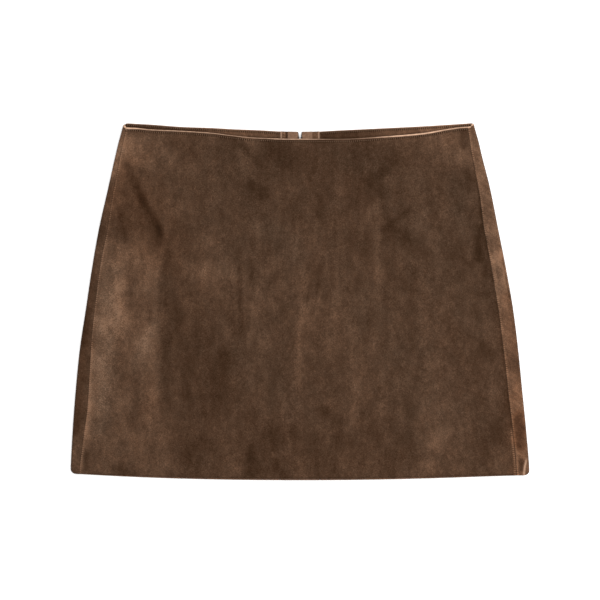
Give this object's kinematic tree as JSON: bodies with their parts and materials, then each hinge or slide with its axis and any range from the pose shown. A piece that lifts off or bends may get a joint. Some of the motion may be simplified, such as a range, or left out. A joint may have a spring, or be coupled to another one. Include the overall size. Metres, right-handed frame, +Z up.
{
  "type": "suede mini skirt, laid flat",
  "caption": "Short flared suede skirt laid flat with its front up, with side seams rolled to the front, a dipped waist edge and a concealed zip at the centre back.",
  "frame": {"origin": "on the surface that the skirt lies on, under the middle of its outline", "axes": "+X across the skirt to the right of the picture, +Y from the hem towards the waist, +Z up from the surface through the front"},
  "size_m": [0.5034, 0.3926, 0.0115],
  "materials": {
    "suede": "brown suede with a soft uneven nap",
    "cut_edge": "raw cut edge of the hide, pale tan",
    "thread": "brown sewing thread",
    "zip_tape": "woven brown tape",
    "zip_coil": "brown moulded coil",
    "zip_metal": "brown enamel"
  },
  "bodies": {
    "skirt": {"front_panel": "suede", "front_facing": "suede", "back_panel_left": "suede", "back_panel_right": "suede", "back_facing_left": "suede", "back_facing_right": "suede", "zip_tape_left": "zip_tape", "zip_tape_right": "zip_tape", "zip_slider": "zip_metal", "zip_stop": "zip_metal"},
    "pull": {"zip_pull": "zip_metal"}
  },
  "joints": [
    {"name": "pull_swing", "type": "hinge", "parent": "skirt", "child": "pull", "pos_m": [0, 0.169, 0.0013], "axis": [1, 0, 0], "range_deg": [0, 150]}
  ]
}
